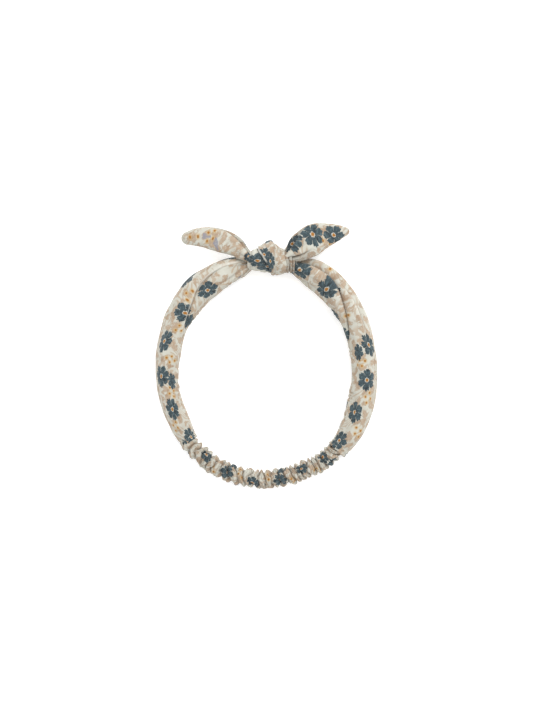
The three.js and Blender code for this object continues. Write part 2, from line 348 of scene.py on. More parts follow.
def add_layer(mesh, label, values):
    """A layer of places for the quads' corners. The corners of the end fans come after
    them, and all get the last place."""
    values = values.reshape(-1, 2)
    spare = np.zeros((len(mesh.loops) - len(values), 2)) + values[-1]
    layer = mesh.uv_layers.new(name=label)
    layer.data.foreach_set("uv", np.vstack([values, spare]).astype(np.float32).ravel())


def cloth(name, grid, s, t, girth, prints, material, painted_shading, ends=(True, True)):
    """A tube of cloth from a grid of points in millimetres. s and t are its flat
    coordinates, of which s may be one number for each row. prints says where the motifs
    lie on it, and the painted shading how much painted shade (over 0) or painted
    highlight (under 0) each point gets."""
    n, m = grid.shape[:2]
    s = np.broadcast_to(s.reshape(n, -1), t.shape)
    _, inwards = skin(grid)
    i, j = np.meshgrid(np.arange(n - 1), np.arange(m), indexing="ij")
    corners = [(i, j), (i, j + 1), (i + 1, j + 1), (i + 1, j)]
    if inwards:
        corners.reverse()
    number = np.arange(n)[:, None] * m + np.arange(m + 1) % m
    faces, face_s, face_t = (
        np.stack([values[a, b] for a, b in corners], axis=-1).reshape(-1, 4)
        for values in (number, s, t)
    )
    points = (grid.reshape(-1, 3) * MM).tolist()
    polygons = faces.tolist()
    for row, wanted in zip((0, n - 1), ends):
        if wanted:
            polygons += end_fan(row, len(points), n, m, inwards)
            points.append((grid[row].mean(axis=0) * MM).tolist())
    mesh = smooth_mesh(name, points, polygons)

    add_layer(mesh, "fabric", np.stack([face_s, face_t], axis=-1))
    looks = {}
    for kind in (FLOWER, PATCH, SPRIG, LEAF, DOT):
        place, look = nearest(prints[kind], face_s, face_t, girth)
        looks[kind] = np.repeat(look[:, None], 4, axis=1)
        add_layer(mesh, kind, place)
    add_layer(mesh, "looks", np.stack([looks[FLOWER], looks[SPRIG]], axis=-1))
    add_layer(mesh, "looks_2", np.stack([looks[LEAF], looks[PATCH]], axis=-1))

    # Painted shade and painted highlight, kept on the points for the material.
    shade = np.concatenate([painted_shading.ravel(), np.ones(len(points) - painted_shading.size)])
    attribute = mesh.attributes.new("painted_shading", "FLOAT", "POINT")
    attribute.data.foreach_set("value", shade.astype(np.float32))
    return add(name, mesh, material)


def padded_cotton(piece, nodes, body):
    """What all the cloth pieces that keep to one body have in common."""
    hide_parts(*nodes)
    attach(piece, body)


def all_prints(seed, length, girth, flowers, dots, clear):
    """A piece's whole print: what is placed, and the rest at random."""
    return {
        FLOWER: scatter(seed, 90, length, girth, (6, 7.6), 15.5, flowers, clear),
        PATCH: scatter(seed + 4, 160, length, girth, (1.4, 2.3), 8, long=(1.2, 2.6)),
        SPRIG: scatter(seed + 1, 400, length, girth, (8, 11), 9.5),
        LEAF: scatter(seed + 2, 260, length, girth, (3.4, 5), 6.5),
        DOT: scatter(seed + 3, 90, length, girth, (0.7, 0.9), 5, dots, clear),
    }


def flower_run(first, pitch, count, sway, crossing, size=6.5):
    """Flowers an even pitch apart, which wander from one side of the top to the other
    and are in its middle at the distance crossing. Every other one is drawn out."""
    run = []
    for k in range(count):
        s = first + pitch * k
        t = sway * math.sin(TURN * (s - crossing) / SWAY_LENGTH)
        run.append((s, t, size, 1.1, 0, EYE) if k % 2 else (s, t, size * 0.8, 1.5, 8, EYE))
    return run


def buds(flowers):
    """A bud that touches each flower, on the side that is freer."""
    return [(s + 4, t + (9 if t < 0 else -9), 3.8, 1.6, 170) for s, t, *_ in flowers]


def flower_ring(s, t, reach, count, size):
    """Flowers round a place, close enough to run into one another."""
    turns = [TURN * k / count for k in range(count)]
    return [(s + reach * math.cos(a), t + reach * math.sin(a), size) for a in turns]


def dot_ring(s, t, count=4):
    """Dots close round a place, each ring turned its own way."""
    dots = []
    for k in range(count):
        turn, reach = s + TURN * k / count, 2.2 + 1.2 * (k % 2)
        dots.append((s + reach * math.cos(turn), t + reach * math.sin(turn), 0.9))
    return dots


def dots_between(flowers):
    """A ring of dots in each gap of a run of flowers, on the side that is freer."""
    rings = []
    for a, b in zip(flowers, flowers[1:]):
        rings += dot_ring((a[0] + b[0]) / 2, -3 if a[1] + b[1] > 0 else 4)
    return rings


# The print on the side that shows: runs of flowers, with rings of dots between them.
# A motif is [along, round from the top, size], and a drawn-out one also has its length
# over its width and its turn in degrees, and has an eye only if it says so.
SWAY_LENGTH = 140
FLOWER_PITCH = 23
LEFT_FLOWERS = flower_run(37, FLOWER_PITCH, 6, 5, 60)
LEFT_DOTS = dots_between(LEFT_FLOWERS)
RIGHT_FLOWERS = flower_run(10, FLOWER_PITCH, 2, 5, 57) + flower_run(80, FLOWER_PITCH, 4, -5, 110)
RIGHT_DOTS = dots_between(RIGHT_FLOWERS)
LEFT_BUDS = buds(LEFT_FLOWERS[1::2])
RIGHT_BUDS = buds(RIGHT_FLOWERS[:3])
TAIL_BACKS = [(14, 18, 6.6), (32, 18, 6.6)]
LEFT_TAIL_FLOWERS = [(3, 0, 2.5)] + TAIL_BACKS
LEFT_TAIL_DOTS = dot_ring(32, 1) + dot_ring(44, 0, 2)
RIGHT_TAIL_FLOWERS = flower_run(10, 14, 3, 5, 34, 6.2) + TAIL_BACKS
RIGHT_TAIL_DOTS = dot_ring(32, 4, 2)
KNOT_FLOWERS = flower_ring(-6, 3, 5, 4, 6.2) + [(0, -18, 6)]
CASING_FLOWERS = flower_run(33, 28, 6, 3, 60, 5.6)
CASING_BUDS = buds(CASING_FLOWERS[1::2])
CASING_DOTS = dots_between(CASING_FLOWERS)

# --- materials ---

CREAM = (0.485, 0.480, 0.422, 1)
CREAM_SHADE = (0.420, 0.402, 0.340, 1)
SLATE = (0.029, 0.050, 0.060, 1)
SLATE_DARK = (0.012, 0.022, 0.028, 1)
SLATE_LIGHT = (0.066, 0.104, 0.120, 1)
TAN = (0.345, 0.248, 0.168, 1)
TAN_DARK = (0.240, 0.160, 0.098, 1)
# A painted highlight, laid along the lips of folds.
LIT_CREAM = (0.60, 0.59, 0.53, 1)
LAVENDER = (0.195, 0.20, 0.25, 1)
ORANGE = (0.290, 0.118, 0.016, 1)
AMBER = (0.46, 0.325, 0.150, 1)
# Multiplied in as painted shade in creases, folds, pleats and gathers.
CREASE_SHADE = (0.12, 0.066, 0.038, 1)
LILAC_PATCHES = 0.94  # a patch whose look is above this is lilac
LILAC_SPRIGS = 0.965  # and a sprig whose look is above this
YARN_PITCH = 0.42


class Nodes:
    """A material's node tree, with short ways to add what the cloths need."""

    def __init__(self, name):
        self.material = bpy.data.materials.new(name)
        self.material.use_nodes = True
        self.tree = self.material.node_tree
        self.tree.nodes.clear()
        self.shader = self.tree.nodes.new("ShaderNodeBsdfPrincipled")
        output = self.tree.nodes.new("ShaderNodeOutputMaterial")
        self.tree.links.new(self.shader.outputs[0], output.inputs[0])

    def feed(self, sockets, values):
        """Link each named or numbered socket to another one, or set it to a constant."""
        for name, value in values.items():
            if isinstance(value, bpy.types.NodeSocket):
                self.tree.links.new(value, sockets[name])
            else:
                sockets[name].default_value = value

    def outputs(self, kind, inputs, **settings):
        """The outputs of a new node, once its settings are made and its inputs fed."""
        node = self.tree.nodes.new("ShaderNode" + kind)
        for name, value in settings.items():
            setattr(node, name, value)
        self.feed(node.inputs, inputs)
        return node.outputs

    def shade(self, values):
        self.feed(self.shader.inputs, values)

    def math(self, operation, *values, clamp=False):
        inputs = dict(enumerate(values))
        return self.outputs("Math", inputs, operation=operation, use_clamp=clamp)[0]

    def plus(self, a, b):
        return self.math("ADD", a, b)

    def minus(self, a, b):
        return self.math("SUBTRACT", a, b)

    def times(self, a, b):
        return self.math("MULTIPLY", a, b)

    def vector(self, operation, *values):
        outputs = self.outputs("VectorMath", dict(enumerate(values)), operation=operation)
        return outputs["Value" if operation == "LENGTH" else "Vector"]

    def scaled(self, value, factor):
        inputs = {0: value, "Scale": factor}
        return self.outputs("VectorMath", inputs, operation="SCALE")[0]

    def place(self, layer):
        return self.outputs("UVMap", {}, uv_map=layer)[0]

    def parts(self, value):
        return self.outputs("SeparateXYZ", {0: value})

    def noise(self, place, scale, detail, output="Fac"):
        inputs = {"Vector": place, "Scale": scale, "Detail": detail}
        return self.outputs("TexNoise", inputs)[output]

    def ramp(self, value, low, high):
        inputs = {"Value": value, "From Min": low, "From Max": high}
        return self.outputs("MapRange", inputs, interpolation_type="SMOOTHSTEP")[0]

    def mix(self, factor, a, b, blend="MIX"):
        inputs = {"Factor": factor, 6: a, 7: b}
        return self.outputs("Mix", inputs, data_type="RGBA", blend_type=blend)[2]

    def bump(self, height, strength, distance, **normal):
        inputs = {"Strength": strength, "Distance": distance, "Height": height}
        return self.outputs("Bump", inputs | normal)[0]


def unwrapped(n, place, fabric, roughen):
    """A motif's place with hand-drawn edges: (radius, angle)."""
    offset = n.vector("SUBTRACT", n.noise(fabric, 0.9, 3.0, "Color"), (0.5, 0.5, 0.5))
    place = n.vector("ADD", place, n.scaled(offset, roughen))
    x, y, _ = n.parts(place)
    flat = n.outputs("CombineXYZ", {0: x, 1: y})[0]
    return n.vector("LENGTH", flat), n.math("ARCTAN2", y, x)


def flower_masks(n, fabric, look):
    """Petals, the pale eye and the orange middle of the nearest flower. A look below
    0 has no eye."""
    radius, angle = unwrapped(n, n.place(FLOWER), fabric, 0.26)
    share = n.math("ABSOLUTE", look)
    petals = n.plus(6.0, n.math("FLOOR", n.times(share, 2.99)))
    half_turns = n.times(angle, n.times(petals, 0.5))
    wave = n.math("ABSOLUTE", n.math("COSINE", half_turns))
    lobe = n.math("POWER", wave, 0.45)
    teeth = n.math("ABSOLUTE", n.math("COSINE", n.times(half_turns, 3.0)))
    ragged = n.noise(fabric, 1.3, 3.0)
    reach = n.plus(0.42, n.times(lobe, 0.38))
    reach = n.plus(reach, n.times(teeth, 0.09))
    reach = n.plus(reach, n.times(ragged, 0.34))
    inside = n.ramp(n.minus(reach, radius), 0.0, 0.045)
    seen = n.math("GREATER_THAN", look, 0.0)
    eye_edge = n.plus(0.13, n.times(ragged, 0.22))
    eye = n.times(seen, n.ramp(n.minus(eye_edge, radius), 0.0, 0.05))
    middle = n.times(seen, n.ramp(n.minus(0.185, radius), 0.0, 0.05))
    veins = n.times(n.minus(1.0, lobe), n.ramp(radius, 0.75, 0.3))
    gaps = n.times(n.ramp(wave, 0.14, 0.04), n.ramp(radius, 0.36, 0.5))
    return inside, eye, middle, veins, gaps


def patch_mask(n, fabric, look):
    """A brushed patch with a ragged edge and a paler stroke through it."""
    radius, angle = unwrapped(n, n.place(PATCH), fabric, 0.55)
    lobes = n.math("COSINE", n.times(n.plus(angle, look), 3.0))
    reach = n.plus(0.75, n.times(lobes, 0.16))
    body = n.ramp(n.minus(reach, radius), -0.08, 0.14)
    brush = n.ramp(n.noise(fabric, 1.1, 3.0), 0.3, 0.6)
    return n.times(body, n.plus(0.55, n.times(brush, 0.45)))


def blades(n, layer, fabric, look, count, length, width, roughen):
    """A sprig of long leaves round a point. Some of its leaves are left out."""
    radius, angle = unwrapped(n, n.place(layer), fabric, roughen)
    curl = n.times(radius, n.minus(n.times(look, 2.0), 1.0))
    turn = n.times(n.plus(angle, curl), count / TURN)
    blade = n.math("ROUND", turn)
    off = n.times(n.minus(turn, blade), TURN / count)
    ahead = n.times(radius, n.math("COSINE", off))
    aside = n.math("ABSOLUTE", n.times(radius, n.math("SINE", off)))
    share = n.math("DIVIDE", n.minus(ahead, 0.1), length, clamp=True)
    half = n.times(n.math("SINE", n.times(share, math.pi)), width)
    leaf = n.ramp(n.minus(half, aside), 0.0, 0.07)
    number = n.plus(n.times(blade, 0.37), n.times(look, 7.3))
    there = n.math("GREATER_THAN", n.math("FRACT", number), 0.3)
    return n.times(leaf, there), n.math("DIVIDE", aside, width, clamp=True)


def streaks(n, fabric):
    """Long brushed strokes that wander over the ground."""
    drift = n.scaled(n.noise(fabric, 0.06, 1.0, "Color"), 26)
    s, t, _ = n.parts(n.vector("ADD", fabric, drift))
    wave = n.math("SINE", n.times(n.plus(s, n.times(t, 1.4)), TURN / 5.2))
    rough = n.noise(fabric, 0.9, 3.0)
    stroke = n.ramp(n.plus(wave, n.times(rough, 1.2)), 0.75, 1.1)
    return n.times(stroke, n.ramp(n.noise(fabric, 0.12, 1.0), 0.44, 0.56))


def weave(n, fabric, pitch):
    """Crossing threads as a height."""
    s, t, _ = n.parts(fabric)
    warp = n.math("SINE", n.times(s, TURN / pitch))
    weft = n.math("SINE", n.times(t, TURN / pitch))
    return n.times(warp, weft)


def with_strokes(n, fabric):
    """The cream ground, with long tan strokes."""
    colour = n.mix(n.ramp(n.noise(fabric, 0.11, 2.0), 0.35, 0.75), CREAM, CREAM_SHADE)
    return n.mix(n.times(streaks(n, fabric), 0.65), colour, TAN)


def with_sprigs(n, fabric, colour, look, brush):
    """Tan sprigs, a few of them lilac, which are thin where the brush was dry."""
    sprig, rim = blades(n, SPRIG, fabric, look, 5, 0.95, 0.25, 0.4)
    tan = n.mix(n.ramp(rim, 0.45, 0.95), TAN, TAN_DARK)
    tan = n.mix(n.times(n.math("GREATER_THAN", look, LILAC_SPRIGS), 0.6), tan, LAVENDER)
    faded = n.times(sprig, n.ramp(brush, 0.2, 0.5))
    return n.mix(n.times(faded, 0.85), colour, tan)


def with_patches(n, fabric, colour, look, brush):
    """Brushed patches, tan or lilac."""
    tan = n.mix(brush, TAN, TAN_DARK)
    tint = n.mix(n.math("GREATER_THAN", look, LILAC_PATCHES), tan, LAVENDER)
    return n.mix(n.times(patch_mask(n, fabric, look), 0.85), colour, tint)


def with_leaves(n, fabric, colour, look):
    """Small leaves, of which only the rims are printed."""
    leaf, rim = blades(n, LEAF, fabric, look, 3, 0.9, 0.30, 0.4)
    outline = n.times(leaf, n.ramp(rim, 0.3, 0.8))
    return n.mix(n.times(outline, 0.6), colour, TAN_DARK)


def with_dots(n, fabric, colour):
    """Orange dots, each with an amber halo."""
    radius, _ = unwrapped(n, n.place(DOT), fabric, 0.7)
    colour = n.mix(n.times(n.ramp(radius, 2.4, 1.0), 0.65), colour, AMBER)
    return n.mix(n.ramp(radius, 1.1, 0.5), colour, ORANGE)


def with_flowers(n, fabric, colour, look):
    """Slate flowers with pale eyes and orange middles."""
    inside, eye, middle, veins, gaps = flower_masks(n, fabric, look)
    petal = n.mix(n.ramp(n.noise(fabric, 0.7, 4.0), 0.42, 0.7), SLATE, SLATE_LIGHT)
    petal = n.mix(n.ramp(n.noise(fabric, 0.33, 2.0), 0.5, 0.72), petal, SLATE_DARK)
    petal = n.mix(n.times(veins, 0.75), petal, SLATE_DARK)
    petal = n.mix(n.times(gaps, 0.55), petal, CREAM)
    colour = n.mix(inside, colour, petal)
    colour = n.mix(eye, colour, CREAM)
    return n.mix(middle, colour, ORANGE)


def with_painted_shading(n, colour):
    """Painted shade multiplied in where the point attribute is over 0, in the creases, and painted
    highlight (LIT_CREAM) where it's under 0.
    """
    painted_shading = n.outputs("Attribute", {}, attribute_name="painted_shading")["Fac"]
    colour = n.mix(n.math("MULTIPLY", painted_shading, -1.0, clamp=True), colour, LIT_CREAM)
    shade = n.math("MAXIMUM", painted_shading, 0.0, clamp=True)
    return n.mix(shade, colour, CREASE_SHADE, "MULTIPLY")


def printed_cotton(name, crushed=0.0):
    """Cream cotton printed with slate flowers, tan leaves and orange dots."""
    n = Nodes(name)
    fabric = n.place("fabric")
    flower_look, sprig_look, _ = n.parts(n.place("looks"))
    leaf_look, patch_look, _ = n.parts(n.place("looks_2"))
    brush = n.noise(fabric, 0.8, 3.0)
    colour = with_strokes(n, fabric)
    colour = with_sprigs(n, fabric, colour, sprig_look, brush)
    colour = with_patches(n, fabric, colour, patch_look, brush)
    colour = with_leaves(n, fabric, colour, leaf_look)
    colour = with_dots(n, fabric, colour)
    colour = with_flowers(n, fabric, colour, flower_look)

    threads = weave(n, fabric, YARN_PITCH)
    colour = n.mix(n.plus(0.03, n.times(threads, 0.03)), colour, CREAM_SHADE)
    crumple = n.bump(n.noise(fabric, 0.16 + crushed, 4.0), 0.55, 0.0012)
    n.shade({
        "Base Color": with_painted_shading(n, colour),
        "Roughness": 0.88,
        "Specular IOR Level": 0.2,
        "Sheen Weight": 0.12,
        "Sheen Roughness": 0.5,
        "Normal": n.bump(threads, 0.35, 0.00012, Normal=crumple),
    })
    return n.material


def plain_thread(name, colour, pitch):
    """Twisted thread, in the object's own coordinates."""
    n = Nodes(name)
    fibres = n.noise(n.outputs("TexCoord", {})["Object"], 1 / (pitch * MM), 3.0)
    dark = tuple(c * 0.72 for c in colour[:3]) + (1,)
    n.shade({
        "Base Color": n.mix(n.ramp(fibres, 0.35, 0.7), colour, dark),
        "Roughness": 0.7,
        "Sheen Weight": 0.2,
        "Normal": n.bump(fibres, 0.5, 0.0001),
    })
    return n.material


COTTON = printed_cotton("printed_cotton")
GATHERED = printed_cotton("gathered_cotton", 0.1)
THREAD = plain_thread("sewing_thread", (0.47, 0.45, 0.38, 1), 0.4)
ELASTIC = plain_thread("woven_elastic", (0.86, 0.85, 0.81, 1), 0.6)

# --- straps ---

loop = Line(LOOP)
ROUND_COLUMNS = 120
STEP = 0.55  # between the rows of a strap's grid


def round_angles(columns=ROUND_COLUMNS):
    return np.linspace(0, TURN, columns, endpoint=False)


def loop_tube(s, angle, width, height, middle, aside, power=2.2):
    """A tube round the band's middle line, aside from it by a distance inwards."""
    x, z = oval(angle, power)
    across = x[None, :] * (width / 2)[:, None] + aside[:, None]
    grid = loop.at(s)[:, None, :] + loop.left(s)[:, None, :] * across[..., None]
    grid[..., 2] = middle[:, None] + z[None, :] * (height / 2)[:, None]
    return grid


def flat_round(n, girth):
    """Distance round the flat tube, with 0 on top of the band, in each of n rows."""
    t = (np.linspace(0, 1, ROUND_COLUMNS + 1) - 0.25) * girth
    return np.broadcast_to(t, (n, ROUND_COLUMNS + 1))


def fold_in(grid, angle, radius, fold, s):
    """Press a lengthwise fold into a tube. Also gives the distance from the valley,
    the valley's depth, and the painted shade (or, below 0, painted highlight) it leaves."""
    depth, shade = along(fold.rows, s)
    across = fold.near + (fold.far - fold.near) * smooth(s, *fold.crossing)
    lip = fold.lip
    valley = np.arccos(np.clip(across, -0.995, 0.995))[:, None]
    off = (angle[None, :] - valley) * radius[:, None]
    on_top = np.sin(angle) > -0.3
    depth = np.maximum(depth, 0)[:, None] * on_top
    shade = np.maximum(shade, 0)[:, None] * on_top
    shape = -depth * np.exp(-np.abs(off / 1.1) ** 1.2)
    shape += 0.36 * depth * bump(off + lip * 3.4, 2.8)
    shape -= 0.30 * depth * bump(off - lip * 2.6, 3.4)
    moved = push(grid, shape)
    over = lip * 0.5 * depth * bump(off + lip * 1.4, 1.3)
    moved = moved + unit(np.roll(grid, -1, axis=1) - np.roll(grid, 1, axis=1)) * over[..., None]
    moved = moved + outward(grid) * (0.45 * np.abs(over))[..., None]
    beyond = off * lip
    # Painted shade in the valley, wider on the side beyond the lip.
    dark = shade * np.where(beyond > 0, bump(beyond, 0.6 + 2.2 * shade), bump(beyond, 0.7))
    there = np.minimum(depth, 1)
    # Painted shade on the cloth tucked under the fold, on the top side.
    under = fold.behind * there * smooth(beyond, 0.2, 2) * smooth(np.sin(angle), 0, 0.3)
    # Painted highlight along the lip, where the fold's edge catches the light.
    painted_highlight = fold.lit * there * bump(beyond + 1.0, 0.55)
    return moved, off, depth, np.maximum(dark, under) - painted_highlight


def fold_all(grid, angle, radius, folds, s):
    """Press all of a tube's folds in. Gives the grid, each fold's distance and depth,
    and the painted shade and painted highlight that they leave together."""
    places, marks = [], np.zeros(grid.shape[:2])
    for fold in folds:
        grid, off, depth, mark = fold_in(grid, angle, radius, fold, s)
        places.append((off, depth))
        marks = np.where(np.abs(mark) > np.abs(marks), mark, marks)
    return grid, places, marks


def folded_round(places, girth):
    """Distance round the flat tube, some of which is tucked away in its folds."""
    share = np.linspace(0, 1, ROUND_COLUMNS + 1)[None, :]
    t = (share - 0.25) * girth
    for off, depth in places:
        hidden = 1.7 * depth.max(axis=1, keepdims=True)
        off = np.concatenate([off, off[:, -1:] + 1], axis=1)
        t = t + hidden * (smooth(off, -0.8, 0.8) - share)
    return t


def darker(marks, shade):
    """Painted shading with more painted shade laid over it. Where there is painted highlight, the shade
    only dims it by half.
    """
    return np.where(marks < 0, marks + shade * 0.5, np.maximum(marks, shade))


def strap_relief(s, angle, radius, length, seed):
    """A strap's pleats at the knot, gathers at its mouth and soft waves, as heights over
    its skin, and the painted shade in the pleats."""
    s = s[:, None]
    place = (s, radius[:, None] * np.cos(angle), radius[:, None] * np.sin(angle))
    stretched = (s * 0.22, place[1], place[2])
    turn = angle[None, :] / TURN
    shift = 0.35 * waves(stretched, 14, seed)
    pleats = pleat(turn * 13 + shift + 0.4) * 1.5 * np.exp(-s / 9)
    drags = pleat(turn * 8 + 1.6 * shift) * 0.75 * np.exp(-((s / 34) ** 2))
    gathers = pleat(turn * 17 + shift) * 0.75 * np.exp(-(length - s) / 5.5)
    long = waves(stretched, 9, seed + 1) * 0.34
    soft = waves(place, 26, seed + 2) * 0.55 + waves(place, 10, seed + 3) * 0.13
    inner = np.clip(np.cos(angle), 0, 1)[None, :] ** 1.5
    where = smooth(waves(place, 30, seed + 4), -0.2, 0.9)
    creases = pleat(s / 7.5 + 0.8 * waves(place, 18, seed + 5)) * inner * where
    relief = (pleats + drags + gathers + long + soft + creases) * smooth(s, 1, 5)
    return relief, valleys(pleats + drags + gathers, 0.9) * 0.65


def turned_in(grid):
    """A strap's mouth: the rows of cloth that turn in and go back inside."""
    rim = grid[-1]
    centre = rim.mean(axis=0)
    ahead = (grid[-1] - grid[-3]).mean(axis=0)
    ahead /= np.linalg.norm(ahead)
    reach = np.linalg.norm(rim - centre, axis=1, keepdims=True)
    return np.array([
        centre + (rim - centre) * (1 - inwards / reach) + ahead * forwards
        for inwards, forwards, _ in MOUTH
    ])


def strap_grid(rows, at, folds, seed, mouth_lines):
    """A strap's grid, and each point's distance along it, flat place round it and painted shade."""
    length = rows[-1][0]
    s = np.concatenate([[0.25, 0.7, 1.3], np.arange(1.9, length, STEP), [length]])
    angle = round_angles()
    width, height, middle, aside = along(rows, s)
    opened = rounded(s, 4.4)
    grid = loop_tube(at(s), angle, width * opened, height * opened, middle, aside)
    radius = (width + height) / 4
    grid, places, painted_shading = fold_all(grid, angle, radius, folds, s)
    flat_t = folded_round(places, STRAP_GIRTH)
    relief, shade = strap_relief(s, angle, radius, length, seed)
    for line in mouth_lines:
        relief = relief - 0.55 * bump(s[:, None] - (length - line), 0.7)
    grid = on_table(push(grid, relief))
    # Painted shade in the pleats' valleys, over the folds' painted shading.
    painted_shading = darker(painted_shading, shade)

    grid = np.vstack([grid, turned_in(grid)])
    s = np.concatenate([s, [length + used for *_, used in MOUTH]])
    flat_t, painted_shading = (
        np.vstack([values, np.repeat(values[-1:], len(MOUTH), axis=0)])
        for values in (flat_t, painted_shading)
    )
    return grid, s, flat_t, painted_shading


def strap(body, rows, at, folds, seed, mouth_lines, flowers, dots):
    grid, s, t, painted_shading = strap_grid(rows, at, folds, seed, mouth_lines)
    prints = all_prints(seed, rows[-1][0], STRAP_GIRTH, flowers, dots, 14)
    piece = cloth(body + "_cloth", grid, s, t, STRAP_GIRTH, prints, COTTON, painted_shading)
    padded_cotton(piece, [body], body)
    return grid, s


def right_at(s):
    return loop.length - s


def left_at(s):
    return s


LEFT_MOUTH_LINES = (3,)  # rings of stitches, by their distance from the mouth
RIGHT_MOUTH_LINES = (2, 4.2)
left_strap = strap(
    "left_strap", LEFT_STRAP, left_at, LEFT_FOLDS, 11, LEFT_MOUTH_LINES,
    LEFT_FLOWERS + LEFT_BUDS, LEFT_DOTS,
)
right_strap = strap(
    "right_strap", RIGHT_STRAP, right_at, RIGHT_FOLDS, 23, RIGHT_MOUTH_LINES,
    RIGHT_FLOWERS + RIGHT_BUDS, RIGHT_DOTS,
)

# --- tails ---

TAIL_GIRTH = 60  # round the flat cloth that a tail's print is thrown on
# Tails: [distance from the knot, width, thickness], round a line of [x, y, z].
LEFT_TAIL_LINE = [
    (-9.6, 64.6, 15.6), (-16, 69.8, 15.4), (-24, 75.4, 14.4), (-34.5, 78.8, 12.4),
    (-46, 80.4, 10.4), (-57.5, 79, 8.8),
]
LEFT_TAIL = [
    (0, 5.4, 6), (3, 6.4, 6.4), (8, 10.2, 6.6), (16, 14, 6.6), (26, 15.4, 6.8),
    (35, 14.4, 6.2), (43, 12, 5.2), (49, 9, 4.2), (53, 6.4, 3.4),
]
RIGHT_TAIL_LINE = [
    (12.8, 64.8, 15.6), (19.4, 69.6, 16), (26, 74.4, 15.2), (33, 78.6, 13.6),
    (41, 81.5, 12), (49, 83.2, 10.4), (57, 84.6, 9),
]
RIGHT_TAIL = [
    (0, 6.4, 6), (4, 9.4, 6.6), (9, 14.6, 7), (15, 19.2, 7.4), (21.5, 21, 7.4),
    (28, 19.4, 6.8), (36, 15, 5.6), (44, 9.2, 4.2), (49.5, 3.8, 2.8),
]
LEFT_TAIL_FOLDS = [
    Fold(-1, 0.6, 0.95, (0, 36), [(0, 0.8, 0.3), (16, 1.1, 0.3), (34, 0.3, 0), (46, 0, 0)], behind=0.32),
]
RIGHT_TAIL_FOLDS = [
    Fold(-1, 0.5, 1, (8, 28), [(0, 1.4, 0.6), (10, 2.3, 0.5), (20, 1.4, 0.2), (30, 0, 0)], behind=0.4),
    Fold(1, -0.3, -0.5, (0, 12), [(0, 1.2, 0.8), (8, 1.9, 0.8), (20, 0, 0)], behind=0.25),
]


def tail_skin(line, rows, s, angle, side, tip):
    """A tail's plain leaf round its line, and its opened width at each distance."""
    width, thick = along(rows, s)
    opened = rounded(s + 0.3, 2.2) * rounded(line.length - s, tip)
    x, z = oval(angle, 2.05)
    across = x[None, :] * (width * opened / 2)[:, None]
    up = z[None, :] * (thick * opened / 2)[:, None]
    way = line.at(np.clip(s + 1, 0, line.length)) - line.at(np.clip(s - 1, 0, line.length))
    way /= np.linalg.norm(way, axis=1, keepdims=True)
    left = line.left(s)
    rise = np.cross(way, left)
    rise *= np.sign(rise[:, 2:3])
    grid = line.at(s)[:, None, :] + side * left[:, None, :] * across[..., None]
    return grid + rise[:, None, :] * up[..., None], width, opened


def tail_relief(s, angle, radius, length, seed):
    """A tail's pleats at the knot, tucks at its tip and soft waves, as heights over its
    skin, and the painted shades in the pleats and the tucks."""
    s = s[:, None]
    place = (s, radius[:, None] * np.cos(angle), 3 * np.sin(angle))
    turn = angle[None, :] / TURN
    shift = 0.3 * waves((s * 0.3, place[1], place[2]), 12, seed)
    pleats = pleat(turn * 11 + shift) * 1.15 * np.exp(-s / 5.5)
    drags = pleat(turn * 7 + shift * 1.5) * 0.5 * np.exp(-((s / 22) ** 2))
    soft = waves(place, 16, seed + 1) * 0.34 + waves(place, 7, seed + 2) * 0.1
    tucks = pleat(turn * 9 + 0.4 + shift) * 0.4 * np.exp(-(((length - s) / 7) ** 2))
    ends = smooth(s, 0.5, 3) * smooth(length - s, 0.5, 4)
    shades = valleys(pleats + drags, 0.8) * 0.6, valleys(tucks, 0.3) * 0.35
    return (pleats + drags + soft + tucks) * ends, shades


def tail(body, points, rows, side, folds, seed, tip, flowers, dots):
    line = Line(points)
    length = line.length
    tip_rows = length - np.array([1.4, 0.9, 0.5, 0.2, 0.02])
    s = np.concatenate([np.arange(0, length - 1.6, 0.5), tip_rows])
    angle = round_angles()
    grid, width, opened = tail_skin(line, rows, s, angle, side, tip)
    grid, _, painted_shading = fold_all(grid, angle, width / 2, folds, s)
    relief, shades = tail_relief(s, angle, width / 2, length, seed)
    grid = push(grid, relief)
    # Painted shade in the valleys of the pleats and the tucks.
    for shade in shades:
        painted_shading = darker(painted_shading, shade)

    girth = 2 * (width * opened + 1)
    t = (np.linspace(0, 1, ROUND_COLUMNS + 1)[None, :] - 0.25) * girth[:, None] * side
    prints = all_prints(seed, length, TAIL_GIRTH, flowers, dots, 17)
    piece = cloth(body + "_cloth", grid, s, t, TAIL_GIRTH, prints, COTTON, painted_shading)
    padded_cotton(piece, [body], body)
    return grid, s


left_tail = tail(
    "left_tail", LEFT_TAIL_LINE, LEFT_TAIL, -1, LEFT_TAIL_FOLDS, 31, 3,
    LEFT_TAIL_FLOWERS, LEFT_TAIL_DOTS,
)
right_tail = tail(
    "right_tail", RIGHT_TAIL_LINE, RIGHT_TAIL, 1, RIGHT_TAIL_FOLDS, 37, 1.3,
    RIGHT_TAIL_FLOWERS, RIGHT_TAIL_DOTS,
)

# --- knot ---

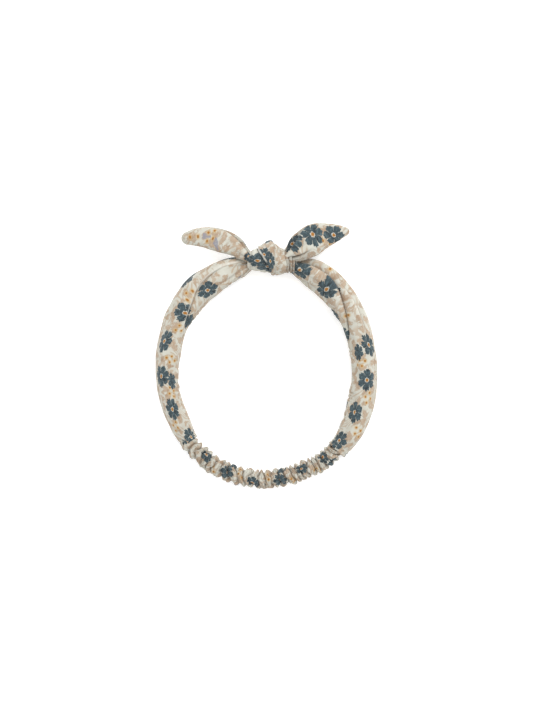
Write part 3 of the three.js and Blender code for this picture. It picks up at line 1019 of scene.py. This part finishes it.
# The knot's cloth goes round a line along x. Each row is a place across it, from
# -1 at its left edge to 1 at its right one, then x and the distance from that
# line, at the back, the front, the near side and the underside.
KNOT_Y = 66
KNOT_Z = 11.2
KNOT_COLUMNS = 160
KNOT_GIRTH = 72  # round the flat cloth of a turn
KNOT = [
    (-1, -7.5, -10.6, -10.4, -9.5, 2.5, 3, 3.5, 3),
    (-0.9, -9, -12.1, -11.8, -10.6, 4.2, 5.8, 6.8, 6),
    (-0.65, -6.4, -8, -7.6, -7, 6.2, 8.8, 8.5, 8.6),
    (-0.3, -2.6, -0.6, 2.2, 1, 8.8, 9.8, 10.2, 9.8),
    (0, 2.2, 3.4, 4.4, 3, 11.6, 11, 11.6, 10.2),
    (0.3, 5.6, 6.7, 6.6, 6, 10.2, 10.4, 11.7, 9.9),
    (0.65, 9, 11, 11, 11, 7.8, 9.2, 11.2, 9.6),
    (0.9, 11.8, 15, 15.6, 14.5, 5.2, 6.8, 9, 7.6),
    (1, 11, 14.2, 15, 14, 3, 4, 5.5, 4.5),
]
SIDE_TURN = [
    (-1, 9, 11, 13, 12, 2.5, 5, 7, 6),
    (-0.7, 10.5, 12.6, 14, 13, 4.5, 7.6, 9.4, 8.6),
    (0, 13.5, 15.6, 17, 16, 4.8, 7.6, 10, 8.8),
    (0.7, 16.5, 18.6, 19.4, 18.6, 4, 6.2, 9, 8),
    (1, 16.5, 18.2, 19.4, 18.2, 2, 3.6, 6, 5),
]


def all_round(back, front, near, under, u):
    """Values at four sides, carried smoothly all the way round."""
    mean = (back + front + near + under) / 4
    oblong = (back - front + near - under) / 4
    return (
        mean[:, None]
        + (back - near)[:, None] / 2 * np.cos(u)
        + (front - under)[:, None] / 2 * np.sin(u)
        + oblong[:, None] * np.cos(2 * u)
    )


def turn_grid(rows, count):
    """A turn of cloth round the knot: its grid, the place across and the angle."""
    v = -np.cos(np.linspace(0, math.pi, count))
    v = 0.5 * v + 0.5 * np.linspace(-1, 1, count)
    u = round_angles(KNOT_COLUMNS)
    values = along(rows, v)
    x = all_round(*values[:4], u)
    reach = all_round(*values[4:], u)
    grid = np.stack([x, KNOT_Y + reach * np.cos(u), KNOT_Z + reach * np.sin(u)], axis=-1)
    return grid, v, u


def crease(grid, across, where, depth, lip):
    """A sharp valley along where, in millimetres across the grid's rows."""
    off = across - where
    shape = -depth * np.exp(-np.abs(off / 0.9) ** 1.2) + 0.25 * depth * bump(np.abs(off) - 2.4, 1.5)
    moved = push(grid, shape)
    over = lip * 0.5 * depth * bump(off + lip * 1.1, 1.0)
    moved = moved + unit(np.gradient(grid, axis=0)) * over[..., None]
    return moved + outward(grid) * (0.35 * np.abs(over))[..., None]


def knot_piece(name, grid, v, stretch, seed, nodes, flowers, painted_shading):
    """A turn of cloth as a piece. stretch is the cloth's width across it."""
    round_row = np.linspace(-0.25, 0.75, KNOT_COLUMNS + 1) * KNOT_GIRTH
    t = np.broadcast_to(round_row, (len(v), KNOT_COLUMNS + 1))
    prints = all_prints(seed, stretch, KNOT_GIRTH, flowers, [], 26)
    piece = cloth(name, grid, v * stretch / 2, t, KNOT_GIRTH, prints, COTTON, painted_shading)
    padded_cotton(piece, nodes, "knot")


def places_round(across, u, radius):
    """Where a turn's points lie, and the same squeezed round the turn, for waves that
    are long that way."""
    place = (across, radius * np.cos(u), radius * np.sin(u))
    return place, (across, place[1] * 0.3, place[2] * 0.3)


def make_wrap():
    """The knot's broad turn: two creases, the cloth pulled towards the first of them,
    and tucks at both edges."""
    grid, v, u = turn_grid(KNOT, 110)
    across = np.broadcast_to(v[:, None] * 14, grid.shape[:2])
    first = -6 - 2.6 * np.cos(u)
    second = 4.2 + 0.8 * np.cos(u + 1)
    grid = crease(grid, across, first, 1.3, 1)
    grid = crease(grid, across, second, 0.5, -1)
    place, squeezed = places_round(across, u, 10)
    pulled = 0.45 + 0.75 * bump(across - first, 4.5)
    pulls = pleat(across / 2.7 + 0.5 * waves(squeezed, 9, 41)) * 0.55 * pulled
    edges = smooth(np.abs(across), 8, 13)
    tucks = pleat(across / 1.9 + 0.5 * waves(squeezed, 7, 42)) * 0.55 * edges
    soft = waves(place, 11, 43) * 0.35
    grid = on_table(push(grid, pulls + tucks + soft))

    # Painted shade along both creases and in the valleys of the pulls and tucks, and a painted highlight
    # along the first crease's lip, up to the top of the turn.
    marks = np.maximum(0.5 * bump(across - first + 0.3, 0.6), 0.15 * bump(across - second, 0.6))
    lit = 1 - smooth(u, math.pi / 2 + 0.15, math.pi / 2 + 0.5)
    marks = marks - 0.9 * lit * bump(across - first - 1.0, 0.45)
    painted_shading = darker(marks, valleys(pulls + 2 * tucks, 0.8) * 0.5)
    knot_piece("knot_cloth", grid, v, 40, 45, ["knot_wrap", "knot_core"], KNOT_FLOWERS, painted_shading)


def make_side_turn():
    """The narrow turn at the knot's right, puckered all the way across."""
    grid, v, u = turn_grid(SIDE_TURN, 60)
    across = np.broadcast_to(v[:, None] * 4, grid.shape[:2])
    place, squeezed = places_round(across, u, 9)
    puckers = pleat(across / 2.3 + 0.3 + 0.4 * waves(squeezed, 8, 51)) * 1.6
    edges = smooth(4 - np.abs(across), 0, 1)
    grid = on_table(push(grid, puckers * edges + waves(place, 8, 52) * 0.25))
    # Painted shade over the whole turn, deeper in the valleys of the puckers.
    painted_shading = 0.32 + valleys(puckers, 0.9) * 0.55
    knot_piece("side_turn_cloth", grid, v, 16, 55, ["knot_side_turn"], [], painted_shading)


make_wrap()
make_side_turn()

# --- casing and elastic ---

CASING_START = LEFT_LENGTH - TUCK
CASING_END = loop.length - RIGHT_LENGTH + TUCK
CASING_MIDDLE = (CASING_START + CASING_END) / 2
LEFT_JOIN = loop.at(LEFT_LENGTH) * MM
RIGHT_JOIN = loop.at(loop.length - RIGHT_LENGTH) * MM
BOTTOM = loop.at(CASING_MIDDLE) * MM
GATHER = 1.6  # how much longer the flat casing is
CASING_GIRTH = 44  # round the flat casing
# [distance from either end, width, height, middle's height]
CASING = [
    (0, 7, 10.5, 7.6), (5, 7.4, 11, 7.6), (8.5, 9, 12.6, 7.3), (16, 9.8, 13.8, 7.1),
    (70, 9.8, 13.8, 7.1),
]


def ruffles(s, angle, seed):
    """The gathers of the casing and the crinkles on them, as heights over its skin, and
    the gathers' count from the casing's start, which is whole in each valley."""
    pitch = 5.2 - 1.2 * smooth(s, CASING_MIDDLE - 25, CASING_MIDDLE + 35)
    turns = np.cumsum(np.concatenate([[0], np.diff(s) / pitch[1:]]))
    place = (s[:, None], 5.5 * np.cos(angle), 7 * np.sin(angle))
    drift = 0.28 * waves(place, 17, seed) + 0.1 * waves(place, 8, seed + 1)
    phase = turns[:, None] + drift + 0.35 * np.sin(angle + 0.7)
    big = pleat(phase)
    small = pleat(1.7 * phase + 0.6 * waves(place, 9, seed + 2))
    blend = smooth(waves(place, 9, seed + 3), -0.4, 0.8)
    edge = 0.55 + 0.45 * np.abs(np.cos(angle))
    ridges = big * (1 - 0.3 * blend) + small * 0.4 * blend
    crinkles = pleat(2.7 * phase + 0.6 * waves(place, 7, seed + 5)) * 0.75
    return ridges * 3.8 * edge + waves(place, 6, seed + 4) * 0.2, crinkles, phase


def tucked_in(phase):
    """The length of cloth that has gone into the valleys by each point."""
    valley = np.round(phase)
    return (GATHER - 1) * 4.6 * (valley - 0.5 + smooth(phase - valley, -0.13, 0.13))


def casing_rows():
    """Distances along the casing, one of them just where its halves meet."""
    s = np.arange(CASING_START, CASING_END, 0.33)
    before, after = s[s < CASING_MIDDLE - 0.2], s[s > CASING_MIDDLE + 0.2]
    return np.concatenate([before, [CASING_MIDDLE], after])


def gathered_casing():
    """The whole casing: its rows, grid, painted shade and the flat cloth's distance along it."""
    s = casing_rows()
    angle = round_angles()
    from_end = np.minimum(s - CASING_START, CASING_END - s)
    width, height, middle = along(CASING, from_end)
    sway = 0.3 * waves((s,), 26, 63) - 0.5
    grid = loop_tube(s, angle, width, height, middle, sway, 2.3)
    ease = smooth(from_end, 1, TUCK + 2)[:, None] * 0.75 + 0.25
    relief, crinkles, phase = ruffles(s, angle, 71)
    relief, crinkles = relief * ease, crinkles * ease
    grid = on_table(push(grid, relief + crinkles))
    # Painted shade in the valleys of the gathers and the crinkles.
    painted_shading = np.maximum(valleys(relief, 1.7) * 0.75, valleys(crinkles, 0.4) * 0.45)
    flat_s = (s - CASING_START)[:, None] + tucked_in(phase)
    return s, grid, painted_shading, np.concatenate([flat_s, flat_s[:, :1]], axis=1)


def casing_half(side, casing, low, high):
    s, grid, painted_shading, flat_s = casing
    keep = (s >= low - 0.01) & (s <= high + 0.01)
    t = flat_round(keep.sum(), CASING_GIRTH)
    flat_length = (CASING_END - CASING_START) * GATHER
    flowers = CASING_FLOWERS + CASING_BUDS
    prints = all_prints(75, flat_length, CASING_GIRTH, flowers, CASING_DOTS, 16)
    ends = (low == CASING_START, high == CASING_END)
    piece = cloth(
        side + "_casing_cloth", grid[keep], flat_s[keep], t, CASING_GIRTH, prints, GATHERED,
        painted_shading[keep], ends,
    )
    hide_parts("elastic_casing")
    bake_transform(piece)


def elastic_half(side, low, high):
    """Half of the elastic strip, which stands on edge and has ribs along its faces."""
    s = np.linspace(low, high, 160)
    x, z = oval(round_angles(64), 6)
    ribs = 0.07 * np.cos(z * 21) * (np.abs(x) > 0.8)
    across = np.broadcast_to(x * 0.6 + np.sign(x) * ribs, (len(s), 64))
    left = loop.left(s)[:, None, :]
    grid = loop.at(s)[:, None, :] + left * across[..., None]
    woven = 0.05 * np.sin(s * 4.2)[:, None] * np.cos(z * 21)
    grid = grid + left * (woven * np.sign(x))[..., None]
    middle = along(CASING, np.minimum(s - CASING_START, CASING_END - s))[2]
    grid[..., 2] = middle[:, None] + z * 3
    name = side + "_elastic_strip"
    piece = add(name, tube_mesh(name, [grid]), ELASTIC)
    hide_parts("elastic_strip")
    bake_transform(piece)


whole_casing = gathered_casing()
casing_half("left", whole_casing, CASING_START, CASING_MIDDLE)
casing_half("right", whole_casing, CASING_MIDDLE, CASING_END)
elastic_half("left", CASING_START + 0.5, CASING_MIDDLE)
elastic_half("right", CASING_MIDDLE, CASING_END - 0.5)

# --- stitching ---

THREAD_RADIUS = 0.2
SUNK = -0.02  # how far a seam's thread stands out of the cloth
TACK_HEIGHT = 7.6  # the middle of an elastic's tack
TACK_REACH = 2.9  # up and down from there
SEAM_COLUMN = round(ROUND_COLUMNS * (360 - 38) / 360)


def stitches(name, loops, body, node, rise):
    """Short thread loops. Each is its start, its end and the way out of the cloth."""
    grids = []
    angle = round_angles(8)
    for start, end, out in loops:
        way = (end - start) / np.linalg.norm(end - start)
        side = np.cross(way, out)
        share = np.linspace(0, 1, 9)
        middle = start + (end - start) * share[:, None]
        middle = middle + out * (rise - 0.9 * (2 * share - 1) ** 4)[:, None]
        radius = THREAD_RADIUS * (1 - 0.5 * (2 * share - 1) ** 8)
        ring = np.cos(angle)[:, None] * side + np.sin(angle)[:, None] * out
        grids.append(middle[:, None, :] + ring[None] * radius[:, None, None])
    piece = add(name, tube_mesh(name, grids), THREAD)
    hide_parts(node)
    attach(piece, body)


def seam_along(body, tube, column, first, last):
    """Stitches along a tube's closing seam, which is sunk a little in the cloth."""
    grid, s = tube
    way_out = outward(grid)
    loops = []
    for place in np.arange(first, last, 2.4):
        i, j = np.searchsorted(s, (place, place + 1.3))
        loops.append((grid[i, column], grid[j, column], way_out[(i + j) // 2, column]))
    stitches(body + "_stitches", loops, body, body + "_seam", SUNK)


def mouth_stitches(side, tube, lines, length):
    """Rings of stitches round a strap's mouth."""
    grid, s = tube
    way_out = outward(grid)
    loops = []
    for row in np.searchsorted(s, length - np.array(lines)):
        for j in range(0, ROUND_COLUMNS, 5):
            middle, end = (j + 2) % ROUND_COLUMNS, (j + 4) % ROUND_COLUMNS
            loops.append((grid[row, j], grid[row, end], way_out[row, middle]))
    stitches(side + "_mouth_stitches", loops, side + "_strap", side + "_join_stitching", SUNK)


def bar_tack(side, at_s):
    """A close row of stitches, on both faces of the elastic, that holds its end."""
    reach = np.array([0, 0, TACK_REACH])
    loops = []
    for k in range(9):
        for out in (loop.left(at_s), -loop.left(at_s)):
            middle = loop.at(at_s - 1.2 + 0.3 * k) + out * 0.7 + (0, 0, TACK_HEIGHT)
            loops.append((middle - reach, middle + reach, out))
    stitches(side + "_tack_stitches", loops, side + "_strap", side + "_elastic_tack", 0.1)


for side, tube in (("left", left_strap), ("right", right_strap)):
    seam_along(side + "_strap", tube, SEAM_COLUMN, 6, 149)
seam_along("left_tail", left_tail, 0, 5, 47)
seam_along("right_tail", right_tail, 0, 5, 45)
mouth_stitches("left", left_strap, LEFT_MOUTH_LINES, LEFT_LENGTH)
mouth_stitches("right", right_strap, RIGHT_MOUTH_LINES, RIGHT_LENGTH)
bar_tack("left", CASING_START + 2)
bar_tack("right", CASING_END - 2)

# --- stage ---


def make_stage():
    half = 3.0
    corners = [(-half, -half, 0), (half, -half, 0), (half, half, 0), (-half, half, 0)]
    mesh = bpy.data.meshes.new("floor")
    mesh.from_pydata(corners, [], [(0, 1, 2, 3)])
    n = Nodes("floor")
    grain = n.noise(n.outputs("TexCoord", {})["Object"], 40, 2.0)
    n.shade({
        "Base Color": n.mix(grain, (0.93, 0.93, 0.93, 1), (0.95, 0.95, 0.95, 1)),
        "Roughness": 0.9,
        "Specular IOR Level": 0.1,
        "Emission Color": (1, 1, 1, 1),
        "Emission Strength": 0.3,
    })
    add("floor", mesh, n.material)


def make_light():
    world = bpy.data.worlds.new("studio")
    bpy.context.scene.world = world
    world.use_nodes = True
    sky = world.node_tree.nodes["Background"]
    sky.inputs["Color"].default_value = (1, 1, 1, 1)
    sky.inputs["Strength"].default_value = 1.12

    data = bpy.data.lights.new("key", "AREA")
    data.size = 1.2
    data.energy = 15
    key = bpy.data.objects.new("key", data)
    x, y, z = key.location = (0.45, 0.85, 1.1)
    key.rotation_euler = (math.atan2(math.hypot(x, y), z), 0, math.atan2(x, -y))
    bpy.context.scene.collection.objects.link(key)
    bpy.context.scene.view_settings.view_transform = "Standard"


make_stage()
make_light()
